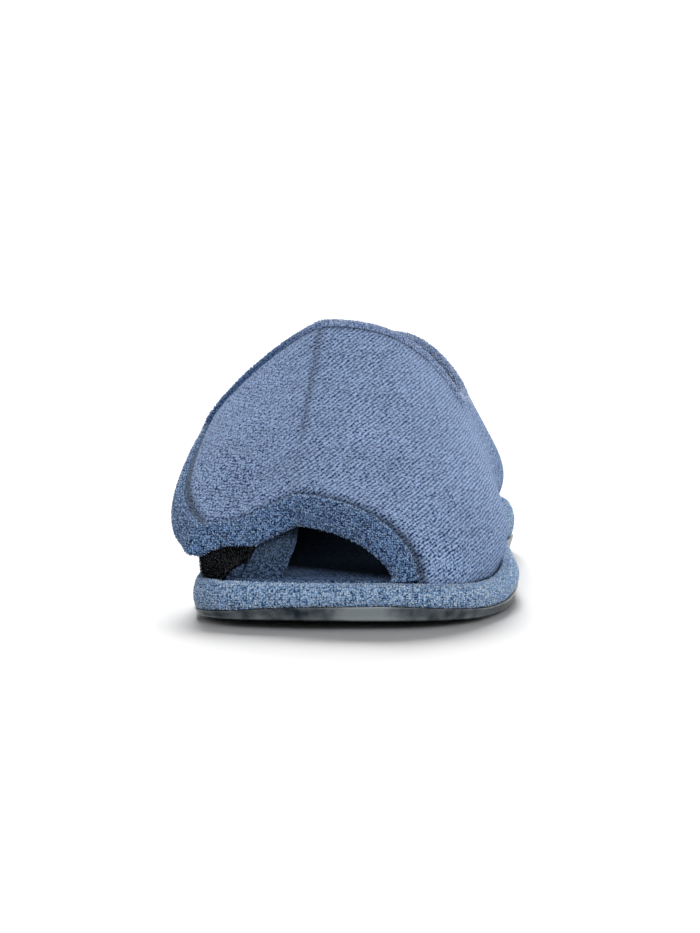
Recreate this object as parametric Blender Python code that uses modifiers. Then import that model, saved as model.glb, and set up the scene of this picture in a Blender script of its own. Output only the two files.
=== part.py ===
"""Open-toe wrap slipper in terry cloth, left foot: sole, insole, wrap upper, bindings and hook pad.

The toe points along -Y, the outer side of the foot lies at +X and the floor is Z = 0.
A station is the distance from the toe tip along the foot. A turn is the share of the way round the
sole's edge, from the toe tip by the inner side to the heel (0.5) and back by the outer side (1).
"""

import math

import bmesh
import bpy
import numpy as np

for old in list(bpy.data.objects):
    bpy.data.objects.remove(old)

MM = 0.001

# Driving dimensions
LENGTH = 268 * MM
TOE_SPRING = 2.5 * MM
SPRING_LENGTH = 62 * MM
HEEL_BEVEL = 2 * MM
HEEL_BEVEL_LENGTH = 26 * MM
RUBBER_TOE = 5 * MM
RUBBER_HEEL = 7 * MM
FOAM_TOE = 8 * MM
FOAM_HEEL = 13.5 * MM
WEDGE_START = 90 * MM
WEDGE_END = 200 * MM
ROLL_RISE = 2.6 * MM
WALL = 3.5 * MM
WALL_INSET = 7 * MM
WALL_LIFT = 1.1 * MM
FIT_GAP = 0.3 * MM
EDGE_GAP = 0.45 * MM
INSOLE_THICKNESS = 2.3 * MM
INSOLE_CLEARANCE = 1.2 * MM
OPEN_TOE_TURNS = (0.012, 0.044)
HOOK_PAD_THICKNESS = 1.2 * MM

# Rolls of the bindings: how far each reaches past the wall's edge, its half thickness, how steeply the
# flap's roll hangs from the wall, and where on the reach a roll's round part starts
FRONT_ROLL_REACH = 11 * MM
END_ROLL_REACH = 9 * MM
REAR_ROLL_REACH = 6.5 * MM
FRONT_ROLL_HALF = 3.4 * MM
REAR_ROLL_HALF = 2.7 * MM
COLLAR_ROLL_REACH = 6 * MM
COLLAR_ROLL_HALF = 2.7 * MM
UNDERLAP_ROLL_REACH = 11 * MM
UNDERLAP_TIP_REACH = 16 * MM
UNDERLAP_ROLL_HALF = 2.4 * MM
FRONT_HANG = 1.1
REAR_HANG = 0.1
ROLL_START = 0.33
ROLL_ROOT_SHARE = 0.8

# The frame sits at the middle of the footprint, this far from the line through the ball of the foot
FRAME_SHIFT_X = 5.5 * MM

# Sole edge in millimetres: station, x of the inner edge, x of the outer edge
TOE_TIP_X = -6
HEEL_TIP_X = 9
SOLE_EDGE = (
    (1.2, -25, 12),
    (6, -41, 28),
    (17, -50, 40.5),
    (40, -54, 49.5),
    (80, -54, 54),
    (115, -48, 51.5),
    (150, -39.5, 47.5),
    (190, -32.5, 46),
    (225, -30, 48),
    (248, -24, 42.5),
    (262, -10.5, 28.5),
)

# Ribs of the upper, which rise from the sole towards a crest, in millimetres:
# turn, crest x, crest station, crest height, fullness, bulge, height of the wall's top edge
UNDERLAP_RIBS = (
    (0.055, -32, 15.5, 17.2, 2.5, 0.0, 17.2),
    (0.075, -32, 28, 17.8, 2.6, 2.0, 17.8),
    (0.098, -32, 43, 19.4, 2.6, 4.4, 19.4),
    (0.123, -31, 57, 26.5, 2.4, 4.8, 26.5),
    (0.174, -31, 82, 42.0, 2.5, 4.5, 42.0),
    (0.229, -30, 113, 57.0, 2.7, 4.0, 57.0),
    (0.269, -26, 134, 66.0, 2.8, 4.0, 63.0),
)
QUARTER_RIBS = (
    (0.305, -16, 152, 76.0, 2.8, 4.0, 58.0),
    (0.348, 0, 186, 74.0, 2.5, 4.0, 59.0),
    (0.402, 4, 218, 74.0, 2.4, 4.0, 64.0),
    (0.500, 4, 222, 93.0, 2.6, 4.5, 76.5),
    (0.598, 2, 214, 86.0, 1.25, 4.0, 64.0),
    (0.652, -12, 172, 98.0, 1.45, 4.5, 60.0),
)
FLAP_RIBS = (
    (0.698, -18, 140, 90.0, 2.5, 5.0, 60.0),
    (0.768, -19, 115, 76.5, 2.5, 5.0, 53.0),
    (0.822, -19.5, 88, 64.0, 2.4, 4.0, 46.0),
    (0.873, -19, 66, 53.0, 2.2, 3.0, 38.5),
    (0.912, -17, 50, 45.5, 1.8, 1.5, 33.0),
    (0.950, -14, 40, 40.0, 1.55, 0.0, 29.0),
)
# Free end of the flap beyond the crest of each flap rib, in millimetres: x, station, height, fullness
FLAP_ENDS = (
    (-59, 137, 54.0, 1.22),
    (-59.5, 114, 49.0, 1.22),
    (-59.5, 88, 43.0, 1.22),
    (-59, 66, 36.5, 1.15),
    (-56.5, 49, 32.5, 1.05),
    (-52, 36, 29.8, 0.98),
)
BULGE_HEIGHT = 14 * MM
BULGE_SHARE = 0.7

# Faceting
EDGE_POINTS = 88
QUARTER_COLUMNS = 44
FLAP_COLUMNS = 20
WALL_ROWS = 8
CREST_ROWS = 5
FLAP_END_ROWS = 12
ROLL_POINTS = 9


def smooth_rows(knots, rows, at):
    """Rows of numbers given at rising knots, read at any places between them on a smooth curve."""
    knots = np.asarray(knots, float)
    rows = np.asarray(rows, float)
    slopes = np.gradient(rows, knots, axis=0)
    at = np.clip(np.atleast_1d(at), knots[0], knots[-1])
    left = np.clip(np.searchsorted(knots, at, side="right") - 1, 0, len(knots) - 2)
    step = (knots[left + 1] - knots[left])[:, None]
    t = (at - knots[left])[:, None] / step
    start = (1 + 2 * t) * (1 - t) ** 2 * rows[left] + t * (1 - t) ** 2 * step * slopes[left]
    end = t * t * (3 - 2 * t) * rows[left + 1] + t * t * (t - 1) * step * slopes[left + 1]
    return start + end


def ease(value, low, high):
    """0 below low, 1 above high, and a smooth step between them."""
    t = np.clip((np.asarray(value, float) - low) / (high - low), 0, 1)
    return t * t * (3 - 2 * t)


# Sole levels, by station
def station_of(y):
    return np.asarray(y) + LENGTH / 2


def tread_height(station):
    """Underside of the outsole: flat, with toe spring and a small bevel at the heel."""
    toe = np.clip(1 - station / SPRING_LENGTH, 0, None)
    heel = np.clip((station - LENGTH + HEEL_BEVEL_LENGTH) / HEEL_BEVEL_LENGTH, 0, None)
    return TOE_SPRING * toe**2 + HEEL_BEVEL * heel**2


def rubber_thickness(station):
    return RUBBER_TOE + (RUBBER_HEEL - RUBBER_TOE) * ease(station, WEDGE_START, WEDGE_END)


def foam_thickness(station):
    return FOAM_TOE + (FOAM_HEEL - FOAM_TOE) * ease(station, WEDGE_START, WEDGE_END)


def rubber_top(station):
    """Top of the outsole. It keeps the toe spring and levels out the bevel at the heel."""
    return tread_height(np.minimum(station, LENGTH / 2)) + rubber_thickness(station)


def seat_height(station):
    """Level inside the platform's roll, where the wall and the insole stand."""
    return rubber_top(station) + foam_thickness(station) - ROLL_RISE


# Sole edge
def edge_halves():
    """The two halves of the sole's edge, toe to heel, as dense points."""
    inner = [(row[1], row[0]) for row in SOLE_EDGE]
    outer = [(row[2], row[0]) for row in SOLE_EDGE]
    toe = [(TOE_TIP_X, 0)]
    heel = [(HEEL_TIP_X, LENGTH / MM)]
    loop = np.array((toe + inner + heel + outer[::-1]) * 3, float) * MM
    loop[:, 1] -= LENGTH / 2
    steps = np.linalg.norm(np.diff(loop, axis=0), axis=1)
    knots = np.concatenate([[0], np.cumsum(steps)])
    first = len(toe + inner + heel + outer)
    middle = first + len(toe + inner)
    last = 2 * first
    halves = []
    for low, high in ((first, middle), (middle, last)):
        dense = smooth_rows(knots, loop, np.linspace(knots[low], knots[high], 800))
        halves.append(dense)
    return halves


def by_length(points, shares):
    """Points at these shares of a line's length."""
    steps = np.linalg.norm(np.diff(points, axis=0), axis=1)
    along = np.concatenate([[0], np.cumsum(steps)])
    along /= along[-1]
    return np.column_stack([np.interp(shares, along, axis) for axis in points.T])


DENSE = 1600
INNER_HALF, OUTER_HALF = edge_halves()
DENSE_TURNS = np.linspace(0, 1, 2 * DENSE + 1)
DENSE_EDGE = np.vstack(
    [
        by_length(INNER_HALF, np.linspace(0, 1, DENSE + 1)),
        by_length(OUTER_HALF, np.linspace(0, 1, DENSE + 1))[1:],
    ]
)


def edge_at(turns, inset):
    """Points (x, y) inside the sole's edge by this inset, at these turns."""
    turns = np.asarray(turns, float) % 1.0
    near = 0.004

    def read(at):
        return np.column_stack([np.interp(at % 1.0, DENSE_TURNS, a) for a in DENSE_EDGE.T])

    ahead = read(turns + near) - read(turns - near)
    ahead /= np.linalg.norm(ahead, axis=1)[:, None]
    inward = np.column_stack([ahead[:, 1], -ahead[:, 0]])
    return read(turns) + inward * np.broadcast_to(inset, turns.shape)[:, None]


def edge_ring(inset, height_of):
    """A closed ring inside the sole's edge. height_of gives its height by station."""
    turns = np.arange(EDGE_POINTS) / EDGE_POINTS
    plan = edge_at(turns, inset)
    return np.column_stack([plan, height_of(station_of(plan[:, 1]))])


# Mesh builders
def finish(name, bm, colour, roughness, smooth_angle=math.radians(40)):
    """Makes the object of a bmesh, with its own material."""
    bmesh.ops.recalc_face_normals(bm, faces=bm.faces)
    mesh = bpy.data.meshes.new(name)
    bm.to_mesh(mesh)
    bm.free()
    mesh.shade_smooth()
    mesh.set_sharp_from_angle(angle=smooth_angle)
    obj = bpy.data.objects.new(name, mesh)
    material = bpy.data.materials.new(name)
    material.use_nodes = True
    shader = material.node_tree.nodes["Principled BSDF"]
    shader.inputs["Base Color"].default_value = (*colour, 1)
    shader.inputs["Roughness"].default_value = roughness
    shader.inputs["Metallic"].default_value = 0
    mesh.materials.append(material)
    PARTS.objects.link(obj)
    obj.parent = FRAME
    return obj


def sole_cap(bm, ring):
    """Closes a sole ring with strips from its inner to its outer side, which follow the toe spring."""
    count = len(ring)
    for k in range(count // 2):
        strip = [ring[k], ring[k + 1], ring[(count - k - 1) % count], ring[(count - k) % count]]
        bm.faces.new(list(dict.fromkeys(strip)))


def flat_cap(bm, ring):
    bm.faces.new(ring)


def loft(rings, cap):
    """A closed solid through rings of the same number of points."""
    bm = bmesh.new()
    loops = [[bm.verts.new(point) for point in ring] for ring in rings]
    for low, high in zip(loops, loops[1:]):
        for k in range(len(low)):
            bm.faces.new((low[k - 1], low[k], high[k], high[k - 1]))
    cap(bm, loops[0])
    cap(bm, loops[-1])
    return bm


# Sole
def make_outsole():
    """Moulded rubber sole: crisp lower edge, and a side that leans out to the platform."""
    profile = (  # inset in millimetres, share of the thickness
        (2.6, 0.0),
        (1.5, 0.10),
        (0.7, 0.45),
        (0.5, 1.0),
    )
    rings = []
    for inset, share in profile:

        def height(station, share=share):
            bottom = tread_height(station)
            return bottom + share * (rubber_top(station) - FIT_GAP - bottom)

        rings.append(edge_ring(inset * MM, height))
    return finish("outsole", loft(rings, sole_cap), (0.055, 0.058, 0.062), 0.6)


def make_platform():
    """Foam midsole in its terry cover: a soft roll round the edge, and a lower seat inside it."""
    profile = (  # inset in millimetres, share of the foam's height, drop below it in millimetres
        (1.8, 0.0, 0),
        (0.5, 0.16, 0),
        (0.0, 0.45, 0),
        (0.5, 0.72, 0),
        (1.8, 0.92, 0),
        (3.8, 1.0, 0),
        (5.5, 1.0, 0.7),
        (6.5, 1.0, 2.6),
    )
    rings = []
    for inset, share, drop in profile:

        def height(station, share=share, drop=drop):
            return rubber_top(station) + share * foam_thickness(station) - drop * MM

        rings.append(edge_ring(inset * MM, height))
    return finish("platform", loft(rings, sole_cap), (0.17, 0.27, 0.42), 0.95)


def make_insole():
    """Terry sock pad inside the wall. It reaches the roll where the toe is open."""
    turns = np.arange(EDGE_POINTS) / EDGE_POINTS
    from_toe = np.minimum(turns, 1 - turns)
    behind_wall = WALL_INSET + WALL + INSOLE_CLEARANCE
    inset = WALL_INSET + (behind_wall - WALL_INSET) * ease(from_toe, *OPEN_TOE_TURNS)
    profile = ((0.6, 0.0), (0.0, 0.5), (1.2, 1.0))  # extra inset in millimetres, share of the thickness
    rings = []
    for extra, share in profile:
        plan = edge_at(turns, inset + extra * MM)
        lift = FIT_GAP + share * INSOLE_THICKNESS
        rings.append(np.column_stack([plan, seat_height(station_of(plan[:, 1])) + lift]))
    return finish("insole", loft(rings, sole_cap), (0.15, 0.24, 0.38), 0.95)


# Upper
RIBS = np.array(UNDERLAP_RIBS + QUARTER_RIBS + FLAP_RIBS, float)
THROAT_TURN = FLAP_RIBS[0][0]
FRONT_TURN = FLAP_RIBS[-1][0]
UNDERLAP_TURN = UNDERLAP_RIBS[0][0]


def rib_sizes(turns):
    """Crest points, fullness, bulge and the wall's top height at these turns, in metres."""
    rows = smooth_rows(RIBS[:, 0], RIBS[:, 1:], turns)
    crest = rows[:, :3] * MM
    crest[:, 1] -= LENGTH / 2
    return crest, rows[:, 3], rows[:, 4] * MM, rows[:, 5] * MM


def wall_base(turns):
    plan = edge_at(turns, WALL_INSET + WALL / 2)
    return np.column_stack([plan, seat_height(station_of(plan[:, 1])) + WALL_LIFT])


def wall_points(turns, angles):
    """Points of the wall's middle surface, by turn and angle: 0 at the sole, 90 degrees at the crest."""
    base = wall_base(turns)
    crest, fullness, bulge, _ = rib_sizes(turns)
    rise = np.sin(angles)
    away = np.cos(angles) ** (2 / fullness)
    plan = crest[:, :2] + (base - crest)[:, :2] * away[:, None]
    outward = (base - crest)[:, :2]
    outward /= np.linalg.norm(outward, axis=1)[:, None]
    height = (crest - base)[:, 2]
    share = rise * height / np.minimum(BULGE_HEIGHT, BULGE_SHARE * height)
    swell = (share * np.exp(1 - share)) ** 2
    plan = plan + outward * (bulge * swell)[:, None]
    return np.column_stack([plan, base[:, 2] + (crest - base)[:, 2] * rise])


def top_angle(turns):
    """Angle at which the wall's top edge lies on each rib."""
    base = wall_base(turns)
    crest, _, _, top = rib_sizes(turns)
    return np.arcsin(np.clip((top - base[:, 2]) / (crest - base)[:, 2], 0, 1))


def wall_column(turn, rows):
    """One column of the wall, from the sole to its top edge."""
    turns = np.full(rows + 1, turn)
    return wall_points(turns, top_angle(turns) * np.linspace(0, 1, rows + 1))


def flap_column(turn):
    """One column of the flap: up the outer side, over the crest and down to the free end."""
    lower = wall_column(turn, WALL_ROWS)
    split = top_angle(np.array([turn]))[0]
    angles = np.linspace(split, math.pi / 2, CREST_ROWS + 1)[1:]
    middle = wall_points(np.full(CREST_ROWS, turn), angles)
    crest = middle[-1]
    flap_turns = [row[0] for row in FLAP_RIBS]
    x, station, height, fullness = smooth_rows(flap_turns, FLAP_ENDS, turn)[0]
    end = np.array([x * MM, station * MM - LENGTH / 2, height * MM])
    swing = np.linspace(0, math.pi / 2, FLAP_END_ROWS + 1)[1:]
    out = np.sin(swing) ** (2 / fullness)
    down = 1 - np.cos(swing) ** (2 / fullness)
    beyond = crest + (end - crest) * np.column_stack([out, out, down])
    return np.vstack([lower, middle, beyond])


QUARTER_TURNS = np.linspace(UNDERLAP_TURN, THROAT_TURN, QUARTER_COLUMNS + 1)
FLAP_TURNS = np.linspace(THROAT_TURN, FRONT_TURN, FLAP_COLUMNS + 1)
QUARTER_GRID = np.array([wall_column(turn, WALL_ROWS) for turn in QUARTER_TURNS])
FLAP_GRID = np.array([flap_column(turn) for turn in FLAP_TURNS])


def grid_normals(grid):
    """Unit normals of a grid of points, pointing out of the shoe."""
    along = np.gradient(grid, axis=0)
    up = np.gradient(grid, axis=1)
    normals = np.cross(up, along)
    return normals / np.linalg.norm(normals, axis=2)[:, :, None]


def make_upper():
    """One wall: underlap, heel and outer side in one strip, which becomes the flap ahead of the throat."""
    bm = bmesh.new()
    quarter = [[bm.verts.new(point) for point in column] for column in QUARTER_GRID]
    flap = [[bm.verts.new(point) for point in column] for column in FLAP_GRID[1:]]
    rear = [bm.verts.new(point) for point in FLAP_GRID[0][WALL_ROWS + 1 :]]
    flap.insert(0, quarter[-1] + rear)
    for columns in (quarter, flap):
        for left, right in zip(columns, columns[1:]):
            for k in range(len(left) - 1):
                bm.faces.new((left[k], right[k], right[k + 1], left[k + 1]))
    upper = finish("upper", bm, (0.16, 0.26, 0.44), 0.95)
    shell = upper.modifiers.new("Wall", "SOLIDIFY")
    shell.thickness = WALL
    shell.offset = 0
    return upper


# Bindings
def roll_section(edge, outward, normal, reach, half, hang):
    """Section of a roll: flat against the wall's edge, then round, and tipped down from the wall."""
    tipped = outward + hang * np.array([0, 0, -1])
    tipped = tipped / np.linalg.norm(tipped)
    across = normal - (normal @ tipped) * tipped
    across = across / np.linalg.norm(across)
    angles = np.linspace(-math.pi / 2, math.pi / 2, ROLL_POINTS)
    past = reach * (ROLL_START + (1 - ROLL_START) * np.cos(angles))
    thick = half * np.sin(angles)
    round_part = edge + past[:, None] * tipped + thick[:, None] * across
    root_half = ROLL_ROOT_SHARE * half
    root = edge + EDGE_GAP * outward + np.array([[-root_half], [root_half]]) * normal
    return np.vstack([root[:1], round_part, root[1:]])


def edge_frames(path, normals):
    """Directions within the wall that lead past its edge, on the right of a path along that edge."""
    ahead = np.gradient(path, axis=0)
    outward = np.cross(ahead, normals)
    return outward / np.linalg.norm(outward, axis=1)[:, None]


def corner_fan(first, second, count=4):
    """Directions that turn from one edge's direction to the next, at a corner."""
    shares = np.linspace(0, 1, count + 2)[1:-1]
    fan = first + (second - first) * shares[:, None]
    return fan / np.linalg.norm(fan, axis=1)[:, None]


def make_flap_binding():
    """Padded roll round the flap: along its front edge, free end and rear edge."""
    normals = grid_normals(FLAP_GRID)
    front = slice(2, None)
    rear = slice(None, WALL_ROWS - 1, -1)
    paths = [FLAP_GRID[-1, front], FLAP_GRID[::-1, -1], FLAP_GRID[0, rear]]
    path_normals = [normals[-1, front], normals[::-1, -1], normals[0, rear]]
    path_outwards = [-edge_frames(*pair) for pair in zip(paths, path_normals)]
    edges, outwards, edge_normals = [paths[0]], [path_outwards[0]], [path_normals[0]]
    for before, after in ((0, 1), (1, 2)):
        fan = corner_fan(path_outwards[before][-1], path_outwards[after][0])
        edges += [np.tile(paths[after][0], (len(fan), 1)), paths[after]]
        outwards += [fan, path_outwards[after]]
        edge_normals += [np.tile(path_normals[after][0], (len(fan), 1)), path_normals[after]]
    counts = [len(part) for part in edges]
    # 0 along the front edge, 1 at the end of the free end, 2 along the rear edge
    place = np.concatenate(
        [
            np.zeros(counts[0] + counts[1]),
            np.linspace(0, 2, counts[2]),
            np.full(counts[3] + counts[4], 2.0),
        ]
    )
    edges = np.vstack(edges)
    outwards = np.vstack(outwards)
    edge_normals = np.vstack(edge_normals)
    rise = np.concatenate([ease(np.arange(counts[0]), 0, 6), np.ones(len(place) - counts[0])])
    hang = (FRONT_HANG + (REAR_HANG - FRONT_HANG) * ease(place, 0.2, 1.6)) * rise
    sizes = (
        (FRONT_ROLL_REACH, FRONT_ROLL_HALF),
        (END_ROLL_REACH, FRONT_ROLL_HALF),
        (REAR_ROLL_REACH, REAR_ROLL_HALF),
    )
    reach, half = smooth_rows((0, 1, 2), sizes, place).T
    sections = [roll_section(*values) for values in zip(edges, outwards, edge_normals, reach, half, hang)]
    return finish("flap_binding", loft(sections, flat_cap), (0.15, 0.25, 0.4), 0.95)


def make_collar_binding():
    """Slim roll on the collar, round the heel, which widens along the underlap down to the toe."""
    normals = grid_normals(QUARTER_GRID)
    path = slice(None, QUARTER_COLUMNS)
    edges = QUARTER_GRID[path, -1]
    edge_normals = normals[path, -1]
    outwards = edge_frames(edges, edge_normals)
    turns = QUARTER_TURNS[path]
    sizes = (
        (UNDERLAP_TIP_REACH, UNDERLAP_ROLL_HALF),
        (UNDERLAP_ROLL_REACH, UNDERLAP_ROLL_HALF),
        (UNDERLAP_ROLL_REACH, UNDERLAP_ROLL_HALF),
        (COLLAR_ROLL_REACH, COLLAR_ROLL_HALF),
        (COLLAR_ROLL_REACH, COLLAR_ROLL_HALF),
    )
    reach, half = smooth_rows((UNDERLAP_TURN, 0.11, 0.17, 0.3, THROAT_TURN), sizes, turns).T
    flush = np.zeros(len(edges))
    sections = [roll_section(*values) for values in zip(edges, outwards, edge_normals, reach, half, flush)]
    return finish("collar_binding", loft(sections, flat_cap), (0.15, 0.25, 0.4), 0.95)


def make_hook_pad():
    """Hook tape on the outer face of the underlap, in front of the ball."""
    columns = slice(1, 14)
    rows = slice(2, WALL_ROWS)
    normals = grid_normals(QUARTER_GRID)
    backs = QUARTER_GRID[columns, rows] + normals[columns, rows] * (WALL / 2 + FIT_GAP)
    fronts = backs + normals[columns, rows] * HOOK_PAD_THICKNESS
    rings = []
    for back, front in zip(backs, fronts):
        rings.append(np.vstack([back, front[::-1]]))
    return finish("hook_pad", loft(rings, flat_cap), (0.012, 0.012, 0.013), 0.9)


PARTS = bpy.data.collections.new("terry_slipper")
bpy.context.scene.collection.children.link(PARTS)
FRAME = bpy.data.objects.new("slipper_frame", None)
FRAME.location = (FRAME_SHIFT_X, 0, 0)
PARTS.objects.link(FRAME)

make_outsole()
make_platform()
make_insole()
make_upper()
make_flap_binding()
make_collar_binding()
make_hook_pad()
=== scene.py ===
# %% [markdown]
# # An open-toe wrap slipper in blue terry
# The slipper is a soft thing sewn from terry cloth on a thin rubber sole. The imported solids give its
# shape and size. Here every piece is dressed: cloth with its loops and ribs, seams, hook tape and rubber.

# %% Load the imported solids
import math

import bmesh
import bpy
import numpy as np
from mathutils import Matrix, Vector


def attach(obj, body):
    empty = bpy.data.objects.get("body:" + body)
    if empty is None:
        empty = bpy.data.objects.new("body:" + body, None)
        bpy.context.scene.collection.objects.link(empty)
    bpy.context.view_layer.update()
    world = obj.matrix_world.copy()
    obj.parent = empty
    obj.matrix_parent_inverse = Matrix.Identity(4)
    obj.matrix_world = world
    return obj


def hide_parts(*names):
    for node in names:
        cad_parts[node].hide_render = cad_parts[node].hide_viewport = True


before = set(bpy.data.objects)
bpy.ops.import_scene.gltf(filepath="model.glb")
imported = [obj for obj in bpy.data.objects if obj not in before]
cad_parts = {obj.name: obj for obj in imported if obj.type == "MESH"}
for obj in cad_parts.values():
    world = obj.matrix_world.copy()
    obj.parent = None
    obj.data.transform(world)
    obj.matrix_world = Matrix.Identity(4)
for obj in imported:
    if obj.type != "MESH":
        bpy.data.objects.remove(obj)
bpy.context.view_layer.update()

# %% [markdown]
# ## Measures
# A shoemaker works from a few measures and cuts everything from them. The same measures place every
# piece here, so that cloth, seams and sole meet. Lengths are in millimetres until they are used.
# A station is the distance from the toe tip. A turn is the share of the way round the sole's edge,
# from the toe by the inner side to the heel, which is 0.5, and back by the outer side.

# %% Measures of the slipper
MM = 0.001
LENGTH = 268 * MM
FRAME_SHIFT_X = 5.5 * MM
TOE_SPRING = 2.5 * MM
SPRING_LENGTH = 62 * MM
HEEL_BEVEL = 2 * MM
HEEL_BEVEL_LENGTH = 26 * MM
RUBBER_TOE = 5 * MM
RUBBER_HEEL = 7 * MM
FOAM_TOE = 8 * MM
FOAM_HEEL = 13.5 * MM
WEDGE_START = 90 * MM
WEDGE_END = 200 * MM
ROLL_RISE = 2.6 * MM
WALL = 3.5 * MM
WALL_INSET = 7 * MM
WALL_LIFT = 1.1 * MM
PILE = 0.6 * MM

# Sole edge: station, x of the inner edge, x of the outer edge
TOE_TIP_X = -6
HEEL_TIP_X = 9
SOLE_EDGE = (
    (1.2, -25, 12),
    (6, -41, 28),
    (17, -50, 40.5),
    (40, -54, 49.5),
    (80, -54, 54),
    (115, -48, 51.5),
    (150, -39.5, 47.5),
    (190, -32.5, 46),
    (225, -30, 48),
    (248, -24, 42.5),
    (262, -10.5, 28.5),
)
# Ribs of the upper: turn, crest x, crest station, crest height, fullness, bulge, height of the top edge
RIBS = np.array(
    (
        (0.055, -41, 14.5, 14.0, 2.5, 0.0, 14.0),
        (0.075, -33, 28, 18.4, 2.6, 2.5, 18.4),
        (0.098, -28.3, 41, 21.8, 2.6, 6.2, 21.8),
        (0.123, -26.9, 57, 27.5, 2.4, 7.4, 27.5),
        (0.174, -31, 82, 42.0, 2.5, 6.2, 42.0),
        (0.229, -30, 113, 57.0, 2.7, 4.0, 57.0),
        (0.269, -26, 134, 66.0, 2.8, 4.0, 63.0),
        (0.305, -16, 152, 76.0, 2.8, 4.0, 58.0),
        (0.348, 0, 186, 74.0, 2.5, 4.0, 59.0),
        (0.402, 4, 218, 74.0, 2.4, 4.0, 73.0),
        (0.500, 1, 222, 93.0, 2.6, 4.5, 77.6),
        (0.598, -2, 214, 86.0, 1.25, 4.0, 55.0),
        (0.652, -12, 172, 98.0, 1.5, 4.5, 59.0),
        (0.698, -18, 140, 89.0, 2.5, 4.5, 60.0),
        (0.768, -19, 115, 76.5, 2.6, 4.5, 53.0),
        (0.822, -19.5, 88, 64.0, 2.4, 4.0, 46.0),
        (0.873, -19, 66, 53.0, 2.2, 3.0, 38.5),
        (0.912, -19, 50, 44.3, 2.0, 1.5, 33.0),
        (0.950, -19, 40, 38.6, 2.15, 0.0, 28.0),
    )
)
# Free end of the flap, beyond the crest: turn, x, station, height, fullness
FLAP_ENDS = np.array(
    (
        (0.698, -57.8, 137, 54.0, 1.22),
        (0.768, -59.2, 114, 49.0, 1.22),
        (0.822, -60, 88, 43.0, 1.22),
        (0.873, -59.5, 66, 36.3, 1.15),
        (0.912, -56, 49, 31.6, 1.05),
        (0.950, -50.8, 36, 28.2, 0.98),
    )
)
UNDERLAP_TURN = 0.055
UNDERLAP_END = 0.2
THROAT_TURN = 0.698
FRONT_TURN = 0.950
BULGE_HEIGHT = 14 * MM
BULGE_SHARE = 0.7


# %% [markdown]
# ## Smooth curves through the measures
# A spline or a curve object could run through the rows. A small function that reads the rows at any
# place is easier to use for whole arrays of points.

# %% Curves and the sole's edge
def smooth_rows(knots, rows, at):
    """Rows of numbers given at rising knots, read anywhere between them on a smooth curve."""
    knots = np.asarray(knots, float)
    rows = np.asarray(rows, float)
    slopes = np.gradient(rows, knots, axis=0)
    at = np.clip(np.atleast_1d(at), knots[0], knots[-1])
    left = np.clip(np.searchsorted(knots, at, side="right") - 1, 0, len(knots) - 2)
    step = (knots[left + 1] - knots[left])[:, None]
    t = (at - knots[left])[:, None] / step
    start = (1 + 2 * t) * (1 - t) ** 2 * rows[left] + t * (1 - t) ** 2 * step * slopes[left]
    end = t * t * (3 - 2 * t) * rows[left + 1] + t * t * (t - 1) * step * slopes[left + 1]
    return start + end


def ease(value, low, high):
    """0 below low, 1 above high, and a smooth step between them."""
    t = np.clip((np.asarray(value, float) - low) / (high - low), 0, 1)
    return t * t * (3 - 2 * t)


def unit(vectors):
    return vectors / np.maximum(np.linalg.norm(vectors, axis=-1, keepdims=True), 1e-12)


def by_length(points, shares):
    """Points at these shares of a line's length."""
    steps = np.linalg.norm(np.diff(points, axis=0), axis=1)
    along = np.concatenate([[0], np.cumsum(steps)])
    return np.column_stack([np.interp(shares, along / along[-1], axis) for axis in points.T])


inner = [(row[1], row[0]) for row in SOLE_EDGE]
outer = [(row[2], row[0]) for row in SOLE_EDGE]
toe = [(TOE_TIP_X, 0)]
heel = [(HEEL_TIP_X, LENGTH / MM)]
sole_loop = np.array((toe + inner + heel + outer[::-1]) * 3, float) * MM
sole_loop[:, 1] -= LENGTH / 2
loop_knots = np.concatenate([[0], np.cumsum(np.linalg.norm(np.diff(sole_loop, axis=0), axis=1))])
loop_size = len(SOLE_EDGE) * 2 + 2
halves = []
for low, high in ((loop_size, loop_size + len(inner) + 1), (loop_size + len(inner) + 1, 2 * loop_size)):
    dense = smooth_rows(loop_knots, sole_loop, np.linspace(loop_knots[low], loop_knots[high], 800))
    halves.append(by_length(dense, np.linspace(0, 1, 1601)))
DENSE_EDGE = np.vstack([halves[0], halves[1][1:]])
DENSE_TURNS = np.linspace(0, 1, len(DENSE_EDGE))


def edge_at(turns, inset):
    """Points (x, y) inside the sole's edge by this inset, at these turns."""
    turns = np.asarray(turns, float)

    def read(at):
        return np.stack([np.interp(at % 1.0, DENSE_TURNS, axis) for axis in DENSE_EDGE.T], axis=-1)

    ahead = unit(read(turns + 0.004) - read(turns - 0.004))
    inward = np.stack([ahead[..., 1], -ahead[..., 0]], axis=-1)
    return read(turns) + inward * np.broadcast_to(inset, turns.shape)[..., None]


edge_length = np.linalg.norm(np.diff(DENSE_EDGE, axis=0), axis=1).sum()
print(f"sole edge: {edge_length / MM:.0f} mm round")


# %% Levels of the sole, by station
def tread_height(station):
    toe_lift = np.clip(1 - station / SPRING_LENGTH, 0, None)
    heel_lift = np.clip((station - LENGTH + HEEL_BEVEL_LENGTH) / HEEL_BEVEL_LENGTH, 0, None)
    return TOE_SPRING * toe_lift**2 + HEEL_BEVEL * heel_lift**2


def rubber_top(station):
    thickness = RUBBER_TOE + (RUBBER_HEEL - RUBBER_TOE) * ease(station, WEDGE_START, WEDGE_END)
    return tread_height(np.minimum(station, LENGTH / 2)) + thickness


def foam_thickness(station):
    return FOAM_TOE + (FOAM_HEEL - FOAM_TOE) * ease(station, WEDGE_START, WEDGE_END)


def seat_height(station):
    """Level inside the roll of the rand, where the wall and the insole stand."""
    return rubber_top(station) + foam_thickness(station) - ROLL_RISE


print(f"seat: {seat_height(0) / MM:.1f} mm high at the toe, {seat_height(LENGTH) / MM:.1f} mm at the heel")


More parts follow.
